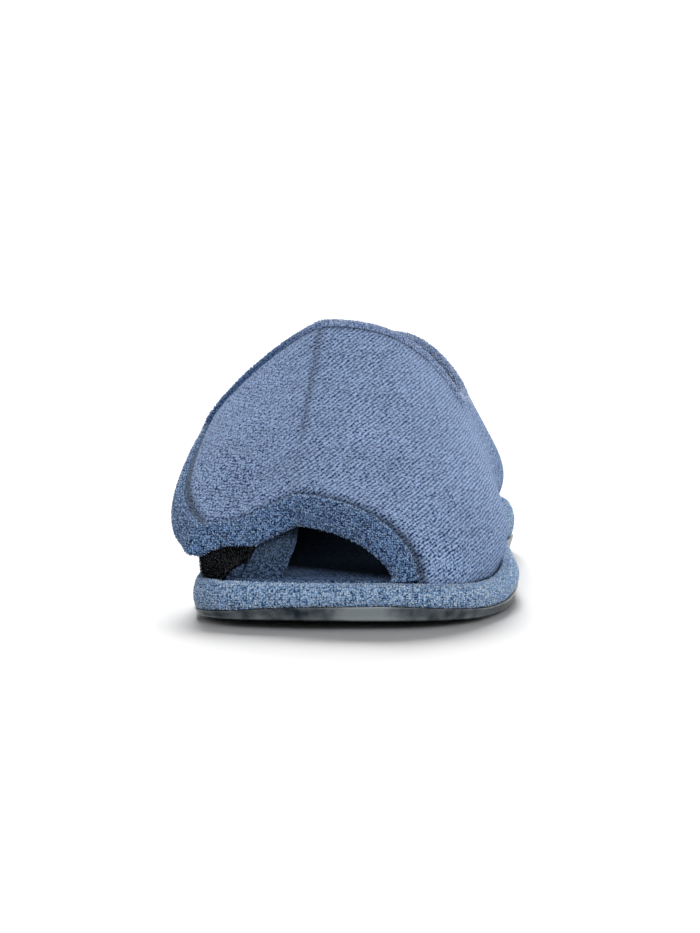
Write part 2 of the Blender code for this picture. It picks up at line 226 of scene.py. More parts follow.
# %% [markdown]
# ## The wall of the upper, as a function
# The upper is one cloth wall. Each rib rises from the sole to a crest, and ahead of the throat it goes on
# over the instep to the flap's free end. A sculpted mesh could show the same, but a function of two
# numbers, the turn and the way up the rib, lets seams and tape be cut from the very same surface.

# %% Surface of the wall
def rib_sizes(turns):
    rows = smooth_rows(RIBS[:, 0], RIBS[:, 1:], turns)
    crest = rows[:, :3] * MM
    crest[:, 1] -= LENGTH / 2
    return crest, rows[:, 3], rows[:, 4] * MM, rows[:, 5] * MM


def wall_base(turns):
    plan = edge_at(turns, WALL_INSET + WALL / 2)
    return np.column_stack([plan, seat_height(plan[:, 1] + LENGTH / 2) + WALL_LIFT])


def wall_points(turns, angles):
    """Points of the wall's middle, by turn and angle, from the sole (0) to the crest (90 degrees)."""
    base = wall_base(turns)
    crest, fullness, bulge, _ = rib_sizes(turns)
    rise = np.sin(angles)
    away = np.clip(np.cos(angles), 0, 1) ** (2 / fullness)
    plan = crest[:, :2] + (base - crest)[:, :2] * away[:, None]
    height = (crest - base)[:, 2]
    share = rise * height / np.minimum(BULGE_HEIGHT, BULGE_SHARE * height)
    swell = (share * np.exp(1 - share)) ** 2
    plan = plan + unit((base - crest)[:, :2]) * (bulge * swell)[:, None]
    return np.column_stack([plan, base[:, 2] + height * rise])


def upper_points(turns, across):
    """Points of the upper. across: 0 at the sole, 1 at the wall's top, 2 at the crest, 3 at the free end."""
    turns, across = (np.ravel(a).astype(float) for a in np.broadcast_arrays(turns, across))
    base = wall_base(turns)
    crest, _, _, top = rib_sizes(turns)
    split = np.arcsin(np.clip((top - base[:, 2]) / (crest - base)[:, 2], 0, 1))
    angles = split * np.clip(across, 0, 1) + (math.pi / 2 - split) * np.clip(across - 1, 0, 1)
    points = wall_points(turns, angles)
    ends = smooth_rows(FLAP_ENDS[:, 0], FLAP_ENDS[:, 1:], turns)
    end = ends[:, :3] * MM
    end[:, 1] -= LENGTH / 2
    swing = np.clip(across - 2, 0, 1) * math.pi / 2
    power = 2 / ends[:, 3]
    out = np.sin(swing) ** power
    down = 1 - np.clip(np.cos(swing), 0, 1) ** power
    beyond = points + (end - points) * np.column_stack([out, out, down])
    return np.where((across > 2)[:, None], beyond, points)


def grid_of(turns, across):
    """The upper's points on a grid of turns and ways across."""
    shape = (len(turns), len(across))
    return upper_points(np.asarray(turns)[:, None], np.asarray(across)[None, :]).reshape(*shape, 3)


def grid_normals(grid):
    """Unit normals of a grid of points, pointing out of the shoe."""
    return unit(np.cross(np.gradient(grid, axis=1), np.gradient(grid, axis=0)))


print(f"top of the instep: {upper_points(THROAT_TURN, 2)[0, 2] / MM:.1f} mm")

# %% [markdown]
# ## Camera, floor and light
# The photograph is a studio picture: a long lens low in front of the toe, a white floor, and soft light that
# leaves only a short dark shadow in front of the sole. A studio shades its lamps with black cards, so that
# one lights the floor and another the shoe. Light linking stands in for the cards: the low lamp behind lights
# the floor alone, the rim and front lamps light the slipper alone. The same light for both would leave either
# a grey floor or a flat slipper.

# %% Camera and studio
scene = bpy.context.scene
scene.view_settings.view_transform = "Standard"
camera = bpy.data.cameras.new("camera")
camera.sensor_fit = "VERTICAL"
camera.sensor_height = 36
camera.lens = 155.5
camera_object = bpy.data.objects.new("camera", camera)
camera_object.location = (0.0975, -1.4305, 0.175)
camera_object.rotation_euler = (math.radians(84.65), 0, math.radians(4))
scene.collection.objects.link(camera_object)
scene.camera = camera_object


def linear(code):
    """The linear colour of an sRGB hex code."""
    values = [int(code[k : k + 2], 16) / 255 for k in (0, 2, 4)]
    return tuple(v / 12.92 if v <= 0.04045 else ((v + 0.055) / 1.055) ** 2.4 for v in values) + (1.0,)


def add(tree, kind, values=None, links=None, **settings):
    """Adds a node with its settings, the values of its sockets and the links into it."""
    node = tree.nodes.new(kind)
    for name, value in settings.items():
        setattr(node, name, value)
    for socket, value in (values or {}).items():
        node.inputs[socket].default_value = value
    for socket, source in (links or {}).items():
        tree.links.new(source, node.inputs[socket])
    return node


def new_material(name):
    """An empty material with its Principled shader, ready for nodes."""
    material = bpy.data.materials.new(name)
    material.use_nodes = True
    return material, material.node_tree, material.node_tree.nodes["Principled BSDF"]


world = bpy.data.worlds.new("studio")
world.use_nodes = True
sky = world.node_tree
sky.nodes["Background"].inputs["Color"].default_value = (1, 1, 1, 1)
way = add(sky, "ShaderNodeTexCoord")
height = add(sky, "ShaderNodeSeparateXYZ", {}, {0: way.outputs["Generated"]})
glow = add(
    sky,
    "ShaderNodeMapRange",
    {"From Min": 0.25, "From Max": 0.6, "To Min": 1.0, "To Max": 0.3},
    {"Value": height.outputs["Z"]},
    interpolation_type="SMOOTHSTEP",
)
front = add(
    sky,
    "ShaderNodeMapRange",
    {"From Min": -0.2, "From Max": 0.4, "To Min": 0.15, "To Max": 1.3},
    {"Value": height.outputs["Y"]},
)
light = add(sky, "ShaderNodeMath", {}, {0: glow.outputs[0], 1: front.outputs[0]}, operation="MULTIPLY")
sky.links.new(light.outputs[0], sky.nodes["Background"].inputs["Strength"])
scene.world = world

LAMPS = (  # name, strength, softness in degrees, the way the light comes from, what it lights
    ("overhead", 0.3, 60, (0.1, 0.1, 1.0), "all"),
    ("behind", 5.6, 22, (-0.1, 1.0, 0.5), "floor"),
    ("rim", 3.2, 30, (-0.1, 1.0, 0.7), "slipper"),
    ("front", 1.7, 40, (0.3, -1.0, 0.45), "slipper"),
)
for name, strength, softness, way, _ in LAMPS:
    lamp = bpy.data.lights.new(name, "SUN")
    lamp.energy = strength
    lamp.angle = math.radians(softness)
    lamp_object = bpy.data.objects.new(name, lamp)
    lamp_object.location = way
    lamp_object.rotation_euler = Vector(way).to_track_quat("Z", "Y").to_euler()
    scene.collection.objects.link(lamp_object)
print("lamps:", [row[0] for row in LAMPS])

# %% Pale floor, and lamps flagged off it
bm = bmesh.new()
bmesh.ops.create_grid(bm, x_segments=8, y_segments=8, size=20)
floor_mesh = bpy.data.meshes.new("floor")
bm.to_mesh(floor_mesh)
bm.free()
floor = bpy.data.objects.new("floor", floor_mesh)
paper, tree, shader = new_material("white_paper")
shader.inputs["Base Color"].default_value = linear("eaeaea")
shader.inputs["Roughness"].default_value = 0.9
floor_mesh.materials.append(paper)
scene.collection.objects.link(floor)
for lit, state in (("floor", "INCLUDE"), ("slipper", "EXCLUDE")):
    receivers = bpy.data.collections.new(f"lamps_of_the_{lit}")
    receivers.objects.link(floor)
    receivers.collection_objects[0].light_linking.link_state = state
    for name, *_, lights in LAMPS:
        if lights == lit:
            bpy.data.objects[name].light_linking.receiver_collection = receivers


# %% [markdown]
# ## Laying cloth
# Every cloth piece begins as Blender's own flat grid. Its corners are then laid on the shoe, row by row, as a
# maker drapes a cut piece on the last. A cloth simulation could drape it too, but the photograph shows where
# each fold lies, and corners laid one by one put it there. A mark on each corner gives how much painted shade
# the cloth's folds and seams get at that place.

# %% Helpers that lay a grid and finish a piece
def cloth_lengths(grid):
    """Millimetres along both ways of a grid of points."""
    along = np.linalg.norm(np.diff(grid, axis=0), axis=2)
    up = np.linalg.norm(np.diff(grid, axis=1), axis=2)
    first = np.vstack([np.zeros((1, grid.shape[1])), np.cumsum(along, axis=0)])
    second = np.hstack([np.zeros((grid.shape[0], 1)), np.cumsum(up, axis=1)])
    return np.stack([first, second], axis=-1) / MM


def lay(bm, grid, material=0, crease=None):
    """Adds a grid of faces to a bmesh, laid on these points. crease marks the painted shade of folds and
    seams.
    """
    columns, rows = grid.shape[0] - 1, grid.shape[1] - 1
    marks = bm.verts.layers.float.get("crease") or bm.verts.layers.float.new("crease")
    made = bmesh.ops.create_grid(bm, x_segments=columns, y_segments=rows, size=0.5)["verts"]
    for vert in made:
        i = round((vert.co.x + 0.5) * columns)
        j = round((vert.co.y + 0.5) * rows)
        for face in vert.link_faces:
            face.material_index = material
        vert.co = grid[i, j]
        vert[marks] = 0.0 if crease is None else crease[i, j]


def close(bm):
    """Joins the seams of laid grids, and turns all faces outwards."""
    bmesh.ops.remove_doubles(bm, verts=bm.verts, dist=1e-6)
    bmesh.ops.recalc_face_normals(bm, faces=bm.faces)


def piece(name, bm, slot, *materials):
    """Makes the object of a bmesh in the row frame. It rides on the slipper's one body."""
    mesh = bpy.data.meshes.new(name)
    bm.to_mesh(mesh)
    bm.free()
    mesh.transform(Matrix.Translation((FRAME_SHIFT_X, 0, 0)))
    mesh.shade_smooth()
    for material in materials:
        mesh.materials.append(material)
    obj = bpy.data.objects.new(name, mesh)
    scene.collection.objects.link(obj)
    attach(obj, "root")
    print(f"{name}: {len(mesh.polygons)} faces")
    return obj


# %% [markdown]
# ## Terry loops
# Terry is a cloth whose pile yarn stands up in small loops. A bump map alone leaves the rim of a roll smooth
# as plastic, so the rolls carry real loops. One loop is a thin yarn spun half round from foot to foot. Copies
# of it, each turned and tipped a little by a seeded generator, are joined into one mesh on the cloth. The
# photograph is too small to count loops, so these are drawn just coarse enough to show.

# %% One loop, and loops scattered on a laid grid
def yarn_loop(width, height, yarn):
    """One terry loop, standing on the origin along x: its corners and faces as arrays."""
    bm = bmesh.new()
    bmesh.ops.create_circle(bm, segments=3, radius=yarn / 2)
    bmesh.ops.translate(bm, verts=bm.verts, vec=(width / 2, 0, 0))
    ring = bm.verts[:] + bm.edges[:]
    bmesh.ops.spin(bm, geom=ring, axis=(0, -1, 0), cent=(0, 0, 0), angle=math.pi, steps=2)
    bmesh.ops.scale(bm, verts=bm.verts, vec=(1, 1, 2 * height / width))
    bmesh.ops.recalc_face_normals(bm, faces=bm.faces)
    bm.verts.index_update()
    corners = np.array([vert.co for vert in bm.verts])
    faces = np.array([[vert.index for vert in face.verts] for face in bm.faces])
    bm.free()
    return corners, faces


def evened(grid, count):
    """The same grid, with its second way cut into this many even lengths."""
    return np.stack([by_length(line, np.linspace(0, 1, count + 1)) for line in grid])


def read_grid(grid, i, j):
    """Values of a grid at fractional places, mixed from the four around each."""
    i0 = np.clip(i.astype(int), 0, grid.shape[0] - 2)
    j0 = np.clip(j.astype(int), 0, grid.shape[1] - 2)
    a, b = (i - i0)[:, None], (j - j0)[:, None]
    low = grid[i0, j0] * (1 - a) + grid[i0 + 1, j0] * a
    high = grid[i0, j0 + 1] * (1 - a) + grid[i0 + 1, j0 + 1] * a
    return low * (1 - b) + high * b


def scatter(bm, grid, outward, pitch, shape, seed, spread=0.9, tip=0.45, rows=(0.0, 1.0), material=1):
    """Adds a copy of a shape at every pitch of a laid grid, turned and tipped at random."""
    rng = np.random.default_rng(seed)
    corners, faces = shape
    lengths = cloth_lengths(grid)
    count_i = int(lengths[-1, :, 0].mean() / pitch)
    count_j = int(lengths[:, -1, 1].mean() * (rows[1] - rows[0]) / pitch)
    place = np.stack(np.meshgrid(np.arange(count_i), np.arange(count_j), indexing="ij"), -1).reshape(-1, 2)
    place = place + 0.5 + rng.uniform(-1, 1, place.shape) * (0.45, 0.2)
    i = place[:, 0] / count_i * (grid.shape[0] - 1)
    j = (rows[0] + place[:, 1] / count_j * (rows[1] - rows[0])) * (grid.shape[1] - 1)
    foot = read_grid(grid, i, j)
    normal = unit(read_grid(outward, i, j))
    along = read_grid(np.gradient(grid, axis=0), i, j)
    along = unit(along - (along * normal).sum(1)[:, None] * normal)
    side = np.cross(normal, along)
    angle = rng.normal(0, spread, len(foot))[:, None]
    lean = rng.normal(0, tip, (len(foot), 2))
    up = unit(normal + lean[:, :1] * along + lean[:, 1:] * side)
    ahead = np.cos(angle) * along + np.sin(angle) * side
    ahead = unit(ahead - (ahead * up).sum(1)[:, None] * up)
    axes = np.stack([ahead, np.cross(up, ahead), up], axis=1)
    size = rng.uniform(0.8, 1.2, (len(foot), 1, 1))
    points = foot[:, None] + np.einsum("vk,nkc->nvc", corners, axes) * size
    quads = faces[None] + np.arange(len(foot))[:, None, None] * len(corners)
    mesh = bpy.data.meshes.new("scattered")
    mesh.from_pydata(points.reshape(-1, 3), [], quads.reshape(-1, faces.shape[1]).tolist())
    mesh.polygons.foreach_set("material_index", np.full(len(mesh.polygons), material))
    bm.from_mesh(mesh)
    bpy.data.meshes.remove(mesh)
    return len(foot)


# %% [markdown]
# ## Cloth finishes
# The upper is a knit terry, sheared short: fine diagonal ribs of small stitches, dull, and paler where the
# eye meets the pile edge-on, which is sheen. Towards the inner side and the heel the ribs give way to a plain
# grain of tufts. The pattern lies on Object coordinates in millimetres, turned to the angle of the ribs. A UV
# map could follow each fold, but it is drawn in at the toe, and the ribs in the photograph run straight. The
# real ribs are a little finer: at this size they would not show, so they are drawn coarser.

# %% Knit terry
RIB_PITCH = 1.12
STITCH_LENGTH = 0.9
RIB_ANGLE = 36
GRAIN = 0.95
knit, tree, shader = new_material("knit_terry")
place = add(tree, "ShaderNodeTexCoord")
cloth = add(
    tree, "ShaderNodeVectorMath", {"Scale": 1 / MM}, {0: place.outputs["Object"]}, operation="SCALE"
)
drift = add(tree, "ShaderNodeTexNoise", {"Scale": 0.12, "Detail": 2.0}, {"Vector": cloth.outputs[0]})
shake = add(
    tree, "ShaderNodeVectorMath", {1: (0.5, 0.5, 0.5)}, {0: drift.outputs["Color"]}, operation="SUBTRACT"
)
loose = add(
    tree,
    "ShaderNodeVectorMath",
    {1: (1.6, 1.6, 1.6)},
    {0: shake.outputs[0], 2: cloth.outputs[0]},
    operation="MULTIPLY_ADD",
)
turned = add(
    tree,
    "ShaderNodeMapping",
    {"Rotation": (0, -math.radians(RIB_ANGLE), 0), "Scale": (STITCH_LENGTH, STITCH_LENGTH, RIB_PITCH)},
    {"Vector": loose.outputs[0]},
    vector_type="TEXTURE",
)
stitch = add(tree, "ShaderNodeTexVoronoi", {"Scale": 1.0, "Randomness": 0.9}, {"Vector": turned.outputs[0]})
parts = add(tree, "ShaderNodeSeparateXYZ", {}, {0: turned.outputs[0]})
phase = add(tree, "ShaderNodeMath", {1: 2 * math.pi}, {0: parts.outputs["Z"]}, operation="MULTIPLY")
wave = add(tree, "ShaderNodeMath", {}, {0: phase.outputs[0]}, operation="COSINE")
rib = add(
    tree,
    "ShaderNodeMapRange",
    {"From Min": -1.0, "From Max": 0.7, "To Min": 0.0, "To Max": 1.0},
    {"Value": wave.outputs[0]},
    interpolation_type="SMOOTHSTEP",
)
dome = add(
    tree,
    "ShaderNodeMapRange",
    {"From Min": 0.15, "From Max": 0.85, "To Min": 1.0, "To Max": 0.0},
    {"Value": stitch.outputs["Distance"]},
    interpolation_type="SMOOTHSTEP",
)
ribbed = add(tree, "ShaderNodeMix", {0: 0.56}, {2: rib.outputs[0], 3: dome.outputs[0]})
grain = add(
    tree, "ShaderNodeTexVoronoi", {"Scale": 1 / GRAIN, "Randomness": 0.6}, {"Vector": loose.outputs[0]}
)
tuft = add(
    tree,
    "ShaderNodeMapRange",
    {"From Min": 0.15, "From Max": 0.8, "To Min": 1.0, "To Max": 0.0},
    {"Value": grain.outputs["Distance"]},
    interpolation_type="SMOOTHSTEP",
)
flat = add(tree, "ShaderNodeSeparateXYZ", {}, {0: cloth.outputs[0]})
inner_half = add(
    tree,
    "ShaderNodeMapRange",
    {"From Min": -5.0, "From Max": -38.0, "To Min": 0.0, "To Max": 0.75},
    {"Value": flat.outputs["X"]},
    interpolation_type="SMOOTHSTEP",
)
heel_part = add(
    tree,
    "ShaderNodeMapRange",
    {"From Min": 5.0, "From Max": 50.0, "To Min": 0.0, "To Max": 0.9},
    {"Value": flat.outputs["Y"]},
    interpolation_type="SMOOTHSTEP",
)
grainy = add(
    tree, "ShaderNodeMath", {}, {0: inner_half.outputs[0], 1: heel_part.outputs[0]}, operation="MAXIMUM"
)
relief = add(tree, "ShaderNodeMix", {}, {0: grainy.outputs[0], 2: ribbed.outputs[0], 3: tuft.outputs[0]})
fluff = add(
    tree, "ShaderNodeTexNoise", {"Scale": 1.6, "Detail": 1.0, "Roughness": 0.6}, {"Vector": cloth.outputs[0]}
)
pile = add(
    tree, "ShaderNodeMath", {1: 1.6}, {0: fluff.outputs[0], 2: relief.outputs[0]}, operation="MULTIPLY_ADD"
)
shade = add(
    tree,
    "ShaderNodeMapRange",
    {"From Min": 0.88, "From Max": 1.66, "To Min": 0.0, "To Max": 1.0},
    {"Value": pile.outputs[0]},
)
# Tone: pale on the tops of ribs and tufts, dark in their grooves; the dark of the grooves is partly painted
# shade
tone = add(
    tree,
    "ShaderNodeMix",
    {6: linear("13295a"), 7: linear("a5bfe6")},
    {0: shade.outputs[0]},
    data_type="RGBA",
)
patches = add(tree, "ShaderNodeTexNoise", {"Scale": 0.05, "Detail": 2.0}, {"Vector": cloth.outputs[0]})
tone_patches = add(
    tree,
    "ShaderNodeMapRange",
    {"From Min": 0.3, "From Max": 0.7, "To Min": 0.92, "To Max": 1.08},
    {"Value": patches.outputs[0]},
)
# Painted shade in the fold and along the seams: the crease mark darkens the tone
crease = add(tree, "ShaderNodeAttribute", attribute_name="crease")
crease_shade = add(tree, "ShaderNodeMath", {1: -0.4, 2: 1.0}, {0: crease.outputs["Fac"]}, operation="MULTIPLY_ADD")
wear_and_crease_shade = add(tree, "ShaderNodeMath", {}, {0: tone_patches.outputs[0], 1: crease_shade.outputs[0]}, operation="MULTIPLY")
tone = add(tree, "ShaderNodeVectorMath", {}, {0: tone.outputs[2], 1: wear_and_crease_shade.outputs[0]}, operation="MULTIPLY")
bump = add(tree, "ShaderNodeBump", {"Strength": 0.8, "Distance": 0.0004}, {"Height": pile.outputs[0]})
tree.links.new(tone.outputs[0], shader.inputs["Base Color"])
tree.links.new(bump.outputs[0], shader.inputs["Normal"])
shader.inputs["Roughness"].default_value = 0.92
shader.inputs["Specular IOR Level"].default_value = 0.05
shader.inputs["Sheen Weight"].default_value = 0.4
shader.inputs["Sheen Roughness"].default_value = 0.2
shader.inputs["Sheen Tint"].default_value = linear("b4ccf0")


# %% [markdown]
# ## Looped terry, the inside and hook tape
# Looped terry shows the eye pale dots of yarn over a darker ground, and is dull all over. Each roll has two
# cloths: a ground, and a paler yarn for the loops that stand on it. The ground is darker partly as painted
# shade under the loops. The dots are cells on Object coordinates, drawn just coarse enough to show. Far
# inside, the shoe is black in the photograph. Less light would darken it too, but also the rest, so the sock
# and the lining carry painted shade there: their colour darkens to nearly black towards the inside.

# %% Looped terry
def looped_terry(name, dark, light, sheen, pitch=0.85, gloss=0.15, painted_shade=None):
    """Terry whose loops show as pale dots over a dark ground. The last argument, when given, is painted
    shade:
    the colour it turns to where shade falls, far inside the shoe or on a shaded side, the direction that
    leads there, and the way along it from the first trace to the full colour."""
    material, tree, shader = new_material(name)
    place = add(tree, "ShaderNodeTexCoord")
    dots = add(
        tree,
        "ShaderNodeTexVoronoi",
        {"Scale": 1 / (pitch * MM), "Randomness": 0.7},
        {"Vector": place.outputs["Object"]},
    )
    dome = add(
        tree,
        "ShaderNodeMapRange",
        {"From Min": 0.15, "From Max": 0.75, "To Min": 1.0, "To Max": 0.0},
        {"Value": dots.outputs["Distance"]},
        interpolation_type="SMOOTHSTEP",
    )
    own = add(tree, "ShaderNodeSeparateColor", {}, {0: dots.outputs["Color"]})
    shade = add(
        tree, "ShaderNodeMath", {1: 0.8}, {0: own.outputs[0], 2: dome.outputs[0]}, operation="MULTIPLY_ADD"
    )
    spread = add(
        tree,
        "ShaderNodeMapRange",
        {"From Min": 0.4, "From Max": 1.35, "To Min": 0.0, "To Max": 1.0},
        {"Value": shade.outputs[0]},
    )
    tone = add(
        tree, "ShaderNodeMix", {6: linear(dark), 7: linear(light)}, {0: spread.outputs[0]}, data_type="RGBA"
    )
    bump = add(tree, "ShaderNodeBump", {"Strength": 0.7, "Distance": 0.0004}, {"Height": dome.outputs[0]})
    # Painted shade: the tone is mixed towards a dark colour along one direction of Object coordinates
    if painted_shade:
        colour, direction, first, full = painted_shade
        inside = add(
            tree,
            "ShaderNodeVectorMath",
            {1: direction},
            {0: place.outputs["Object"]},
            operation="DOT_PRODUCT",
        )
        share = add(
            tree,
            "ShaderNodeMapRange",
            {"From Min": first, "From Max": full, "To Min": 0.0, "To Max": 0.94},
            {"Value": inside.outputs["Value"]},
        )
        tone = add(
            tree,
            "ShaderNodeMix",
            {7: linear(colour)},
            {0: share.outputs[0], 6: tone.outputs[2]},
            data_type="RGBA",
        )
    tree.links.new(tone.outputs[2], shader.inputs["Base Color"])
    tree.links.new(bump.outputs[0], shader.inputs["Normal"])
    shader.inputs["Roughness"].default_value = 0.95
    shader.inputs["Specular IOR Level"].default_value = gloss
    shader.inputs["Sheen Weight"].default_value = sheen
    shader.inputs["Sheen Roughness"].default_value = 0.5
    shader.inputs["Sheen Tint"].default_value = linear("b4c6e2")
    return material


# %% Cloths of the rolls, the inside and the tape
# Binding of the flap's front and free end: a dark blue ground under mid-blue loops, darkened as painted shade
ground = looped_terry("binding_ground_shaded", "0c1c38", "7ca2d4", 0.1, 0.7)
yarn = looped_terry("binding_yarn_shaded", "345486", "c0dcff", 0.15, 0.7)
# Rand: the palest cloth, fuzzy, with its loops close together
rand_ground = looped_terry("rand_ground", "1c446e", "bcdcff", 0.1, 0.8)
rand_yarn = looped_terry("rand_yarn", "6e9cd0", "e6f3ff", 0.2, 0.8)
# Collar and rear edge of the flap: pale as painted light, and darkened on the inner side as painted shade
collar_ground_lit_and_shaded = looped_terry(
    "collar_ground_lit_and_shaded", "4a6090", "acc4ea", 0.2, 0.7, painted_shade=("2c4670", (-1.0, 0.0, 0.0), 0.01, 0.03)
)
collar_yarn_lit_and_shaded = looped_terry(
    "collar_yarn_lit_and_shaded", "8098c6", "dceaff", 0.3, 0.7, painted_shade=("6486b8", (-1.0, 0.0, 0.0), 0.01, 0.03)
)
# Underlap and its margin: dull, and dark as painted shade under the flap
margin_ground = looped_terry("margin_ground", "101a2c", "526a8e", 0.05)
margin_yarn = looped_terry("margin_yarn", "30455f", "7690b4", 0.1)
# Sock and lining: matt loops without sheen, darkened to nearly black far inside as painted shade
sock = looped_terry(
    "sock_terry", "22324e", "7a96be", 0.0, gloss=0.0, painted_shade=("060809", (0.8, 1.0, 0.0), -0.1, -0.08)
)
lining = looped_terry(
    "lining_terry", "33466c", "9cb2d6", 0.0, gloss=0.0, painted_shade=("06080c", (0.0, 0.0, -1.0), -0.056, -0.044)
)
# Underside of the flap: near black, as painted shade
underside_in_shade = looped_terry("painted_shade_underside", "020304", "06080a", 0.0, gloss=0.0)
# Hook tape: a matt black weave, and wiry hooks that catch a little grey light
tape = looped_terry("tape_weave", "050606", "121416", 0.0, gloss=0.0)
hooks = looped_terry("tape_hooks", "0a0c0e", "505358", 0.0, gloss=0.0)
print("cloths:", [material.name for material in bpy.data.materials if material.users == 0])

# %% [markdown]
# ## Rubber finish
# The side of the sole is smooth grey rubber. It gives a soft gloss, cloudy dark marks a few millimetres wide,
# and a painted highlight: a pale patch at the toe. A painted map could show the same, but noise needs no map.

# %% Moulded rubber
rubber, tree, shader = new_material("moulded_rubber")
place = add(tree, "ShaderNodeTexCoord")
mottle = add(tree, "ShaderNodeTexNoise", {"Scale": 230.0, "Detail": 5.0}, {"Vector": place.outputs["Object"]})
scuff = add(
    tree,
    "ShaderNodeMapRange",
    {"From Min": 0.3, "From Max": 1.0, "To Min": 0.0, "To Max": 1.0},
    {"Value": mottle.outputs[0]},
)
# Painted highlight: a pale patch at the toe, mixed towards the pale tone
TOE_HIGHLIGHT_PLACE = (12 * MM, -134 * MM, 4 * MM)
toe_spot = add(
    tree, "ShaderNodeVectorMath", {1: TOE_HIGHLIGHT_PLACE}, {0: place.outputs["Object"]}, operation="DISTANCE"
)
painted_toe_highlight = add(
    tree,
    "ShaderNodeMapRange",
    {"From Min": 0.003, "From Max": 0.016, "To Min": 0.9, "To Max": 0.0},
    {"Value": toe_spot.outputs["Value"]},
    interpolation_type="SMOOTHSTEP",
)
tone_patches = add(tree, "ShaderNodeMath", {}, {0: scuff.outputs[0], 1: painted_toe_highlight.outputs[0]}, operation="ADD")
# The pale tone serves both the cloudy marks and the painted highlight
tone = add(
    tree, "ShaderNodeMix", {6: linear("10222e"), 7: linear("929b9f")}, {0: tone_patches.outputs[0]}, data_type="RGBA"
)
grit = add(tree, "ShaderNodeTexNoise", {"Scale": 2200.0, "Detail": 1.0}, {"Vector": place.outputs["Object"]})
bump = add(tree, "ShaderNodeBump", {"Strength": 0.15, "Distance": 0.0002}, {"Height": grit.outputs[0]})
tree.links.new(tone.outputs[2], shader.inputs["Base Color"])
tree.links.new(bump.outputs[0], shader.inputs["Normal"])
shader.inputs["Roughness"].default_value = 0.3
print("rubber:", rubber.name)

# %% [markdown]
# ## Upper
# The flap lies over the instep, pressed into a soft fold along its crest. The ribs alone would give a hard
# ridge, so the rows near the crest are relaxed, as `smooth_vert` would do, and the fold is drawn back in as
# a narrow trough. The front edge hangs lower on the inner side, where the flap rests on the tape.

# %% Grids of the wall and the flap
QUARTER_COLUMNS = 300
FLAP_COLUMNS = 130
WALL_ROWS = 36
CREST_ROWS = 60
quarter_turns = np.linspace(UNDERLAP_TURN, THROAT_TURN, QUARTER_COLUMNS + 1)
wall_rows = np.linspace(0, 1, WALL_ROWS + 1)
quarter = grid_of(quarter_turns, wall_rows)
flap_share = np.linspace(0, 1, FLAP_COLUMNS + 1)
flap_share -= 0.12 * np.sin(2 * math.pi * flap_share)
flap_turns = THROAT_TURN + (FRONT_TURN - THROAT_TURN) * flap_share
step = np.linspace(0, 1, CREST_ROWS + 1)[1:]
flap_across = np.concatenate([wall_rows, 2 - (1 - step) ** 1.5, 2 + step**1.4])
flap = grid_of(flap_turns, flap_across)
crest_row = WALL_ROWS + CREST_ROWS
flap_cloth = cloth_lengths(flap)
from_crest = flap_cloth[..., 1] - flap_cloth[:, crest_row, 1][:, None]
ahead = flap_share[:, None]
print("points of wall and flap:", quarter.shape[:2], flap.shape[:2])

# %% Relax the crest, and let the flap droop
RELAX_ROUNDS = 70
CREST_WIDTH = 13
CREST_WIDER_AT_TOE = 14
FLAP_DROOP = 2.2 * MM


def trough(distance, width):
    """1 along a line, fading to nothing within a few widths of it."""
    return np.exp(-((distance / width) ** 2))


relax = trough(from_crest, CREST_WIDTH + CREST_WIDER_AT_TOE * ease(ahead, 0.6, 1.0))[:, 1:-1, None]
for _ in range(RELAX_ROUNDS):
    middle = (flap[:, :-2] + flap[:, 2:]) / 2
    flap[:, 1:-1] += 0.5 * relax * (middle - flap[:, 1:-1])
inner_side = np.clip(from_crest / from_crest[:, -1:], 0, 1)
flap[..., 2] -= FLAP_DROOP * ease(ahead, 0.5, 1.0) * np.sin(np.pi * inner_side**1.3) ** 1.5
sewn = flap.copy()

# %% Press the fold and the seams into the flap
HEM_SEAM_START = 2.7
# The third column below is the strength of the painted shade along each line
CREASES = np.array(  # width in millimetres, depth in millimetres, strength of the dark mark
    (
        (0.55, 0.4, 1.4),  # fold
        (1.1, 0.8, 1.7),  # seam of the hem
        (1.4, 0.1, 2.3),  # seam of the rear edge
    )
)
fold_line = 0.5 + 1.7 * ease(ahead, 0.5, 0.9)
hem_distance = np.minimum(flap_cloth[-1:, :, 0] - flap_cloth[..., 0], from_crest[:, -1:] - from_crest)
distances = (from_crest - fold_line, np.maximum(hem_distance - HEM_SEAM_START, 0), flap_cloth[..., 0])
widths, depths, marks = CREASES.T
creases = np.stack([trough(distance, width) for distance, width in zip(distances, widths)])
creases[0] *= 1 - ease(ahead, 0.66, 0.9)
creases[2, :, :WALL_ROWS] = 0
groove = (creases * depths[:, None, None]).max(axis=0)
crease_shade = (creases * marks[:, None, None]).max(axis=0)
flap -= grid_normals(flap) * (groove * MM)[..., None]
print(f"deepest groove: {groove.max():.1f} mm")

# %% Upper piece
bm = bmesh.new()
lap = np.searchsorted(quarter_turns, UNDERLAP_END)
lay(bm, quarter[lap:][::-1])
lay(bm, quarter[: lap + 1][::-1], 4)
lay(bm, flap[::-1], 2, crease_shade[::-1])
bmesh.ops.remove_doubles(bm, verts=bm.verts, dist=1e-6)
# The underlap takes the dark margin cloth and the flap's inner face the near-black underside, both painted
# shade
upper = piece("upper_knit", bm, "terry_knit", knit, lining, knit, underside_in_shade, margin_ground, lining)
shell = upper.modifiers.new("wall", "SOLIDIFY")
shell.thickness = WALL
shell.offset = 0
shell.material_offset = 1
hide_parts("upper")


# %% [markdown]
# ## Sole, rand and insole
# The outsole is moulded rubber with a shallow wavy tread. The rand is a terry strip round the foam, and the
# insole a terry sock. Extruding the outline would give straight sides, so rings of the sole's edge, each set
# in by a little more, are joined, and a sheet of rows from side to side closes the underside.

